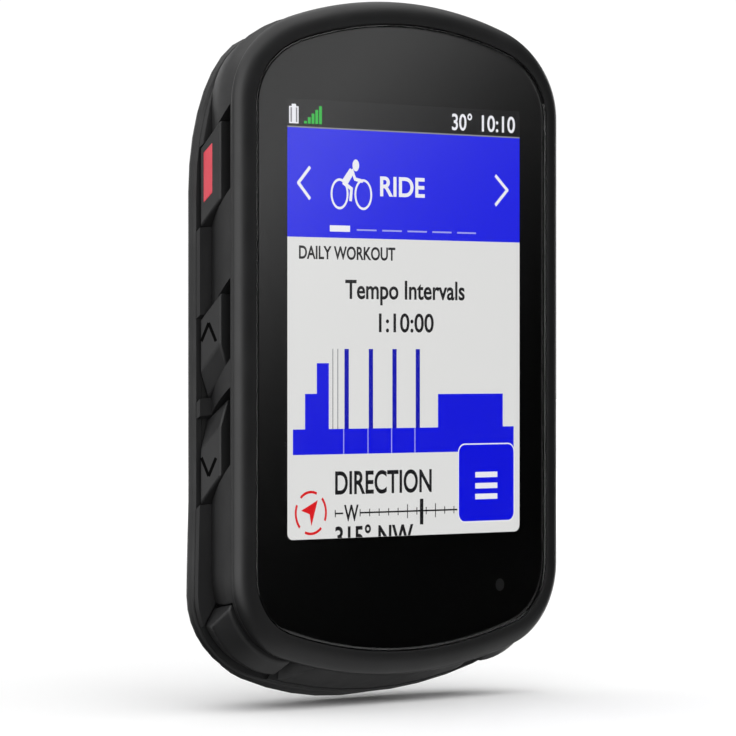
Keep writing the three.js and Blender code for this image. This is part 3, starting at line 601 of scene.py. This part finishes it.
# ---- Screen graphics ----
class Ink:
    """Collects flat shapes of one colour in one layer of the screen."""

    def __init__(self, name, material, layer):
        self.name = name
        self.material = material
        self.depth = SCREEN_DEPTH - layer * INK_STEP
        self.bm = bmesh.new()

    def polygon(self, points):
        front = [self.bm.verts.new(at(x + SCREEN_SHIFT, self.depth, z)) for x, z in points]
        rear = [self.bm.verts.new(at(x + SCREEN_SHIFT, self.depth + INK_THICK, z)) for x, z in points]
        self.bm.faces.new(front)
        self.bm.faces.new(rear[::-1])
        for i in range(len(points)):
            j = (i + 1) % len(points)
            self.bm.faces.new((front[j], front[i], rear[i], rear[j]))

    def box(self, left, right, bottom, top):
        self.polygon([(left, bottom), (right, bottom), (right, top), (left, top)])

    def rounded(self, left, right, bottom, top, radius):
        points = []
        for cx, cz, start in (
            (right - radius, top - radius, 0),
            (left + radius, top - radius, 1),
            (left + radius, bottom + radius, 2),
            (right - radius, bottom + radius, 3),
        ):
            for i in range(7):
                a = (start + i / 6) * math.pi / 2
                points.append((cx + radius * math.cos(a), cz + radius * math.sin(a)))
        self.polygon(points)

    def stroke(self, points, width):
        """Straight strokes through some points, with square ends."""
        for (x0, z0), (x1, z1) in zip(points, points[1:]):
            along = Vector((x1 - x0, z1 - z0)).normalized() * width / 2
            across = Vector((-along.y, along.x))
            a, b = Vector((x0, z0)) - along * 0.6, Vector((x1, z1)) + along * 0.6
            self.polygon([tuple(a - across), tuple(b - across), tuple(b + across), tuple(a + across)])

    def arc(self, cx, cz, rx, rz, width, start=0.0, end=360.0, steps=36):
        """A curved stroke along an ellipse, between two angles in degrees."""
        for i in range(steps):
            a0 = math.radians(start + (end - start) * i / steps)
            a1 = math.radians(start + (end - start) * (i + 1) / steps)
            ring = []
            for a, grow in ((a0, -1), (a1, -1), (a1, 1), (a0, 1)):
                r = grow * width / 2
                ring.append((cx + (rx + r) * math.cos(a), cz + (rz + r) * math.sin(a)))
            self.polygon(ring)

    def disc(self, cx, cz, rx, rz):
        steps = [2 * math.pi * i / 24 for i in range(24)]
        self.polygon([(cx + rx * math.cos(a), cz + rz * math.sin(a)) for a in steps])

    def text(self, words, left, right, bottom, top, weight=0.012, crop_below=None):
        """Words in the built-in font, fitted to a box from the baseline to the capitals' height."""
        curve = bpy.data.curves.new("words", "FONT")
        curve.body = words
        curve.offset = weight
        curve.resolution_u = 6
        source = bpy.data.objects.new("words", curve)
        bpy.context.scene.collection.objects.link(source)
        mesh = bpy.data.meshes.new_from_object(source.evaluated_get(bpy.context.evaluated_depsgraph_get()))
        bpy.data.objects.remove(source)
        capital = 0.69  # height of the built-in font's capitals at size 1
        xs = [v.co.x for v in mesh.vertices]
        wide = (right - left) / (max(xs) - min(xs))
        tall = (top - bottom) / capital
        flat = bmesh.new()
        flat.from_mesh(mesh)
        bpy.data.meshes.remove(mesh)
        for v in flat.verts:
            x = left + (v.co.x - min(xs)) * wide
            z = bottom + v.co.y * tall
            v.co = at(x + SCREEN_SHIFT, self.depth, z)
        if crop_below is not None:
            bmesh.ops.bisect_plane(
                flat,
                geom=flat.verts[:] + flat.edges[:] + flat.faces[:],
                plane_co=at(0, self.depth, crop_below),
                plane_no=(0, 0, -1),
                clear_outer=True,
            )
        bmesh.ops.remove_doubles(flat, verts=flat.verts[:], dist=1e-7)
        extruded = bmesh.ops.extrude_face_region(flat, geom=flat.faces[:])
        moved = [g for g in extruded["geom"] if isinstance(g, bmesh.types.BMVert)]
        bmesh.ops.translate(flat, verts=moved, vec=(0, INK_THICK * MM, 0))
        temp = bpy.data.meshes.new("words")
        flat.to_mesh(temp)
        flat.free()
        self.bm.from_mesh(temp)
        bpy.data.meshes.remove(temp)

    def done(self):
        new_object(self.name, finished(self.bm), "case", self.material)


PAPER_TOP = 13.8
HEADER_TOP = 26.95
BAND = (-12.2, -9.15)  # the chart's lower band
SEPARATORS = (-10.75, -6.65, -2.62, 1.4)


def screen_background():
    left, right = SCREEN["left"] - SCREEN_SHIFT, SCREEN["right"] - SCREEN_SHIFT
    status = Ink("screen_status_bar", STATUS_DARK, 0)
    status.box(left - 0.6, right + 0.6, SCREEN["bottom"] - 0.6, SCREEN["top"] + 0.6)
    status.done()
    header = Ink("screen_header", HEADER_BLUE, 1)
    header.box(left, right, PAPER_TOP, HEADER_TOP - 0.12)
    header.done()
    line = Ink("screen_header_line", LINE_GREY, 1)
    line.box(left, right, HEADER_TOP - 0.12, HEADER_TOP + 0.05)
    line.done()
    paper = Ink("screen_paper_area", PAPER_WHITE, 1)
    radius = 0.9
    points = [(right, PAPER_TOP), (left, PAPER_TOP)]
    for cx, start in ((left + radius, 180), (right - radius, 270)):
        for i in range(9):
            a = math.radians(start + 90 * i / 8)
            points.append((cx + radius * math.cos(a), SCREEN["bottom"] + radius + radius * math.sin(a)))
    paper.polygon(points)
    paper.done()


def cyclist(ink):
    """A generic rider on a bicycle."""
    for wheel_x in (-11.35, -7.35):
        ink.arc(wheel_x, 19.1, 1.35, 1.72, 0.3, steps=28)
    ink.disc(-8.62, 22.6, 0.56, 0.72)
    ink.polygon([(-9.6, 22.25), (-8.85, 21.75), (-10.15, 20.1), (-11.05, 20.62)])
    ink.stroke([(-9.25, 22.0), (-8.75, 20.95), (-7.55, 20.72)], 0.42)
    ink.stroke([(-10.7, 20.45), (-9.35, 19.75), (-9.5, 18.4)], 0.46)


def header_graphics():
    white = Ink("screen_header_marks", PURE_WHITE, 2)
    white.stroke([(-16.35, 22.1), (-18.2, 20.25), (-16.35, 18.45)], 0.42)
    white.stroke([(15.75, 22.0), (17.8, 20.3), (15.75, 18.45)], 0.42)
    cyclist(white)
    white.text("RIDE", -4.5, 3.2, 19.05, 21.35, 0.022)
    white.box(-12.98, -9.6, 14.55, 15.3)
    white.box(-19.72, -18.16, 27.3, 29.35)
    white.box(-19.3, -18.58, 29.35, 29.62)
    white.text("30°", 7.95, 11.5, 27.5, 29.45, 0.014)
    white.text("10:10", 13.25, 19.2, 27.5, 29.45, 0.014)
    white.done()
    shade = Ink("screen_battery_shade", LINE_GREY, 3)
    shade.box(-19.5, -19.26, 27.45, 29.2)
    shade.box(-18.62, -18.38, 27.45, 29.2)
    shade.done()
    dim = Ink("screen_page_marks", DIM_WHITE, 2)
    for i in range(5):
        left = -8.46 + i * 4.33
        dim.box(left, left + 3.35, 14.72, 14.92)
    dim.done()
    green = Ink("screen_signal_bars", SIGNAL_GREEN, 2)
    for i in range(5):
        left = -17.25 + i * 0.62
        green.box(left, left + 0.46, 27.35, 27.35 + 0.3 + 0.46 * i)
    green.done()


def chart():
    blue = Ink("screen_chart", CHART_BLUE, 2)
    blue.box(-19.1, 18.96, *BAND)
    blue.box(-17.1, -15.15, BAND[1], -4.92)
    blue.box(-15.15, -13.15, BAND[1], -1.25)
    blue.box(5.5, 17.0, BAND[1], -5.05)
    blue.done()
    bars = Ink("screen_chart_bars", DEEP_BLUE, 2)
    for left in SEPARATORS:
        bars.box(left + 0.22, left + 0.95, BAND[1], 0.46)
    bars.done()
    thin = Ink("screen_chart_lines", LINE_GREY, 2)
    for left in (-12.55, -11.72):
        thin.box(left, left + 0.14, BAND[1], 0.46)
    thin.done()
    pale = Ink("screen_chart_separators", DIM_WHITE, 3)
    for left in SEPARATORS:
        pale.box(left, left + 0.16, *BAND)
    pale.done()


def compass():
    red = Ink("screen_compass", COMPASS_RED, 2)
    cx, cz, rx, rz = -16.13, -19.15, 2.5, 2.5
    for start in (55, 145, 235, 325):
        red.arc(cx, cz, rx, rz, 0.32, start + 12 - 0, start + 78, 12)
    red.polygon([(-15.0, -17.65), (-17.75, -18.85), (-16.35, -19.3)])
    red.polygon([(-15.0, -17.65), (-16.35, -19.3), (-16.05, -20.75)])
    red.done()
    tape = Ink("screen_compass_tape", TEXT_BLACK, 2)
    level = -19.32
    tape.box(-12.15, -10.75, level - 0.1, level + 0.1)
    tape.box(-12.15, -12.0, level - 0.45, level + 0.45)
    tape.text("W", -10.6, -8.15, -20.25, -18.35, 0.02)
    tape.box(-7.95, 8.9, level - 0.1, level + 0.1)
    for i in range(11):
        x = -7.9 + i * 1.62
        tall = 0.85 if i in (5, 8) else 0.45
        tape.box(x - 0.07, x + 0.07, level - tall, level + tall)
    tape.box(2.35, 2.95, -21.0, -17.85)
    tape.done()


def menu_button():
    edge = Ink("screen_menu_edge", PURE_WHITE, 3)
    edge.rounded(9.0, 19.1, -20.98, -11.2, 1.15)
    edge.done()
    face = Ink("screen_menu_face", CHART_BLUE, 4)
    face.rounded(9.16, 18.94, -20.82, -11.36, 1.0)
    face.done()
    bars = Ink("screen_menu_bars", PURE_WHITE, 5)
    for top in (-14.75, -16.12, -17.45):
        bars.box(12.05, 16.0, top - 0.68, top)
    bars.done()


def page_text():
    black = Ink("screen_words", TEXT_BLACK, 2)
    black.text("DAILY WORKOUT", -18.1, -1.9, 11.25, 12.75, 0.024)
    black.text("Tempo Intervals", -10.4, 10.2, 6.55, 8.75, 0.02)
    black.text("1:10:00", -4.7, 4.75, 2.55, 4.75, 0.016)
    black.text("DIRECTION", -12.1, 4.4, -16.98, -14.3, 0.02)
    black.text("315° NW", -12.1, 1.2, -23.4, -20.95, 0.02, crop_below=SCREEN["bottom"] + 0.02)
    black.done()


def sensor_dot():
    dot = Ink("light_sensor_window", LINE_GREY, 0)
    dot.bm.free()
    bm = bmesh.new()
    centre_x, centre_z, radius = 16.8, -28.85, 0.78
    ring = []
    for i in range(32):
        a = 2 * math.pi * i / 32
        ring.append((centre_x + radius * math.cos(a), centre_z + radius * math.sin(a)))
    front = [bm.verts.new(at(x, MASK_DEPTH - 0.008, z)) for x, z in ring]
    rear = [bm.verts.new(at(x, MASK_DEPTH - 0.004, z)) for x, z in ring]
    bm.faces.new(front)
    bm.faces.new(rear[::-1])
    for i in range(32):
        j = (i + 1) % 32
        bm.faces.new((front[j], front[i], rear[i], rear[j]))
    new_object("light_sensor_window", finished(bm), "case", CHIP)


def screen():
    screen_background()
    header_graphics()
    page_text()
    chart()
    compass()
    menu_button()
    sensor_dot()


# ---- CAD nodes that carry over ----
CARRIED = {
    "mid_housing": CASE,
    "rear_shell": CASE,
    "mount_insert": CASE,
    "housing_gasket": RUBBER,
    "glass_adhesive": RUBBER,
    "port_cover": RUBBER,
    "battery_pad": RUBBER,
    "vent_membrane": RUBBER,
    "touch_film": DIFFUSER,
    "display_panel": DIFFUSER,
    "backlight": DIFFUSER,
    "display_ribbon": RIBBON,
    "battery_lead": RIBBON,
    "support_frame": STEEL,
    "shield_can": STEEL,
    "usb_socket": STEEL,
    "pressure_sensor": STEEL,
    "main_board": BOARD,
    "ribbon_connector": CHIP,
    "light_sensor": CHIP,
    "buzzer": CHIP,
    "satellite_antenna": CERAMIC,
    "radio_antenna": CERAMIC,
    "battery": FOIL,
}


def dress_cad():
    """Gives each CAD node its material and smooth shading that keeps edges steeper than 32 degrees sharp."""
    for name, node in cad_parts.items():
        if name in CARRIED:
            material = CARRIED[name]
        elif name.endswith("_seal"):
            material = RUBBER
        elif name.endswith("_switch"):
            material = STEEL
        elif "screw" in name:
            material = DARK_STEEL
        else:
            material = CASE
        mesh = node.data
        mesh.materials.clear()
        mesh.materials.append(material)
        if "custom_normal" in mesh.attributes:
            mesh.attributes.remove(mesh.attributes["custom_normal"])
        for polygon in mesh.polygons:
            polygon.use_smooth = True
        weld = node.modifiers.new("weld", "WELD")
        weld.merge_threshold = 1e-6
        split = node.modifiers.new("split", "EDGE_SPLIT")
        split.split_angle = math.radians(32)
        flatten(node)


# ---- Stage ----
def flat_grid(name, size, material):
    """A level square sheet with a few divisions."""
    bm = bmesh.new()
    bmesh.ops.create_grid(bm, x_segments=8, y_segments=8, size=size)
    mesh = bpy.data.meshes.new(name)
    bm.to_mesh(mesh)
    bm.free()
    mesh.materials.append(material)
    obj = bpy.data.objects.new(name, mesh)
    bpy.context.scene.collection.objects.link(obj)
    return obj


def hide_from_object(obj, glossy=False):
    """Keeps a stage piece from lighting the object; glossy leaves it in mirror reflections."""
    obj.visible_diffuse = False
    obj.visible_glossy = glossy
    obj.visible_transmission = False
    obj.visible_volume_scatter = False


def floor():
    """A pale table that does not light the object."""
    sheet = flat_grid("floor", FLOOR_SIZE, FLOOR)
    sheet.location.z = CAD_BOX[0].z - FLOOR_GAP
    hide_from_object(sheet)
    sheet.visible_shadow = False


def backdrop():
    """A white surround that only the camera sees."""
    material, nodes, links, shader = new_material("backdrop_white")
    shader.inputs["Base Color"].default_value = (0, 0, 0, 1)
    shader.inputs["Specular IOR Level"].default_value = 0
    shader.inputs["Emission Strength"].default_value = BACKDROP_GLOW
    white = ramp(nodes, links, noise(nodes, links, 0.5, 1), (0.99, 0.99, 0.99), (1, 1, 1))
    links.new(white, shader.inputs["Emission Color"])
    bm = bmesh.new()
    bmesh.ops.create_uvsphere(bm, u_segments=32, v_segments=16, radius=BACKDROP_RADIUS)
    mesh = bpy.data.meshes.new("backdrop")
    bm.to_mesh(mesh)
    bm.free()
    mesh.materials.append(material)
    obj = bpy.data.objects.new("backdrop", mesh)
    bpy.context.scene.collection.objects.link(obj)
    hide_from_object(obj)
    obj.visible_shadow = False


def math_node(nodes, links, operation, *values):
    """A Math node; each value is a number or a socket."""
    node = nodes.new("ShaderNodeMath")
    node.operation = operation
    for socket, value in zip(node.inputs, values):
        if isinstance(value, (int, float)):
            socket.default_value = value
        else:
            links.new(value, socket)
    return node.outputs["Value"]


def gradient_card():
    """A card that is bright in one corner and fades away diagonally; the glass mirrors it."""
    material, nodes, links, shader = new_material("card_fade")
    coords = nodes.new("ShaderNodeTexCoord")
    split = nodes.new("ShaderNodeSeparateXYZ")
    links.new(coords.outputs["Generated"], split.inputs["Vector"])
    slant = math_node(nodes, links, "MULTIPLY_ADD", split.outputs["X"], 1.1, split.outputs["Y"])
    steps = math_node(nodes, links, "MULTIPLY_ADD", slant, -CARD_FADE, CARD_FADE * 1.05 + CARD_SHIFT)
    fade = math_node(nodes, links, "POWER", math_node(nodes, links, "MAXIMUM", steps, 0.0), 1.53)
    level = math_node(nodes, links, "EXPONENT", math_node(nodes, links, "MULTIPLY", fade, -1.0))
    shader.inputs["Base Color"].default_value = (0, 0, 0, 1)
    shader.inputs["Specular IOR Level"].default_value = 0
    shader.inputs["Emission Color"].default_value = (1, 1, 1, 1)
    links.new(math_node(nodes, links, "MULTIPLY", level, CARD_LEVEL), shader.inputs["Emission Strength"])
    card = flat_grid("fade_card", CARD_SIZE / 2, material)
    facing = Vector((-math.sin(VIEW_ANGLE), math.cos(VIEW_ANGLE), 0))
    centre = at(0, 0, 0) - facing * CARD_DISTANCE
    right = Vector((0, 0, 1)).cross(facing)
    turn = Matrix((right, Vector((0, 0, 1)), facing)).transposed().to_4x4()
    card.matrix_world = Matrix.Translation(centre) @ turn
    hide_from_object(card, glossy=True)
    card.visible_transmission = True
    card.visible_camera = False
    card.visible_shadow = False


def area_light(name, place, size, power, height):
    data = bpy.data.lights.new(name, "AREA")
    data.energy = power
    data.size = size
    if height:
        data.shape = "RECTANGLE"
        data.size_y = height
    light = bpy.data.objects.new(name, data)
    light.location = place
    light.rotation_euler = (Vector(LAMP_AIM) - Vector(place)).to_track_quat("-Z", "Y").to_euler()
    bpy.context.scene.collection.objects.link(light)


def lights():
    world = bpy.data.worlds.new("studio")
    bpy.context.scene.world = world
    world.use_nodes = True
    background = world.node_tree.nodes["Background"]
    background.inputs["Color"].default_value = (1, 1, 1, 1)
    background.inputs["Strength"].default_value = WORLD_LIGHT
    overhead = bpy.data.lights.new("overhead", "SUN")
    overhead.energy = SUN_STRENGTH
    overhead.angle = SUN_ANGLE
    lamp = bpy.data.objects.new("overhead", overhead)
    bpy.context.scene.collection.objects.link(lamp)
    for lamp_values in LAMPS:
        area_light(*lamp_values)


def camera():
    right = Vector((math.cos(VIEW_ANGLE), -math.sin(VIEW_ANGLE), 0))
    forward = Vector((math.sin(VIEW_ANGLE), math.cos(VIEW_ANGLE), 0))
    on_axis = at(0, 0, VIEW_HEIGHT) - right * VIEW_OFFSET * MM
    place = on_axis - forward * VIEW_DISTANCE * MM
    data = bpy.data.cameras.new("camera")
    data.lens = LENS
    data.sensor_width = 36
    data.clip_start = 0.01
    data.clip_end = 50
    obj = bpy.data.objects.new("camera", data)
    obj.location = place
    aim = on_axis - Vector((0, 0, VIEW_DROP * MM))
    obj.rotation_euler = (aim - place).to_track_quat("-Z", "Y").to_euler()
    bpy.context.scene.collection.objects.link(obj)
    bpy.context.scene.camera = obj


def build():
    dress_cad()
    front_bezel()
    cover_glass()
    border_print()
    side_buttons()
    corner_buttons()
    power_inlay()
    chevron("up_mark", "up_button", -1, 3.5, 2.15)
    chevron("down_mark", "down_button", -1, -14.6, -2.15)
    chevron("enter_mark", "enter_button", 1, 3.5, 2.15)
    chevron("back_mark", "back_button", 1, -14.6, -2.15)
    screen()
    floor()
    backdrop()
    gradient_card()
    lights()
    camera()
    bpy.context.scene.view_settings.view_transform = "Standard"


build()
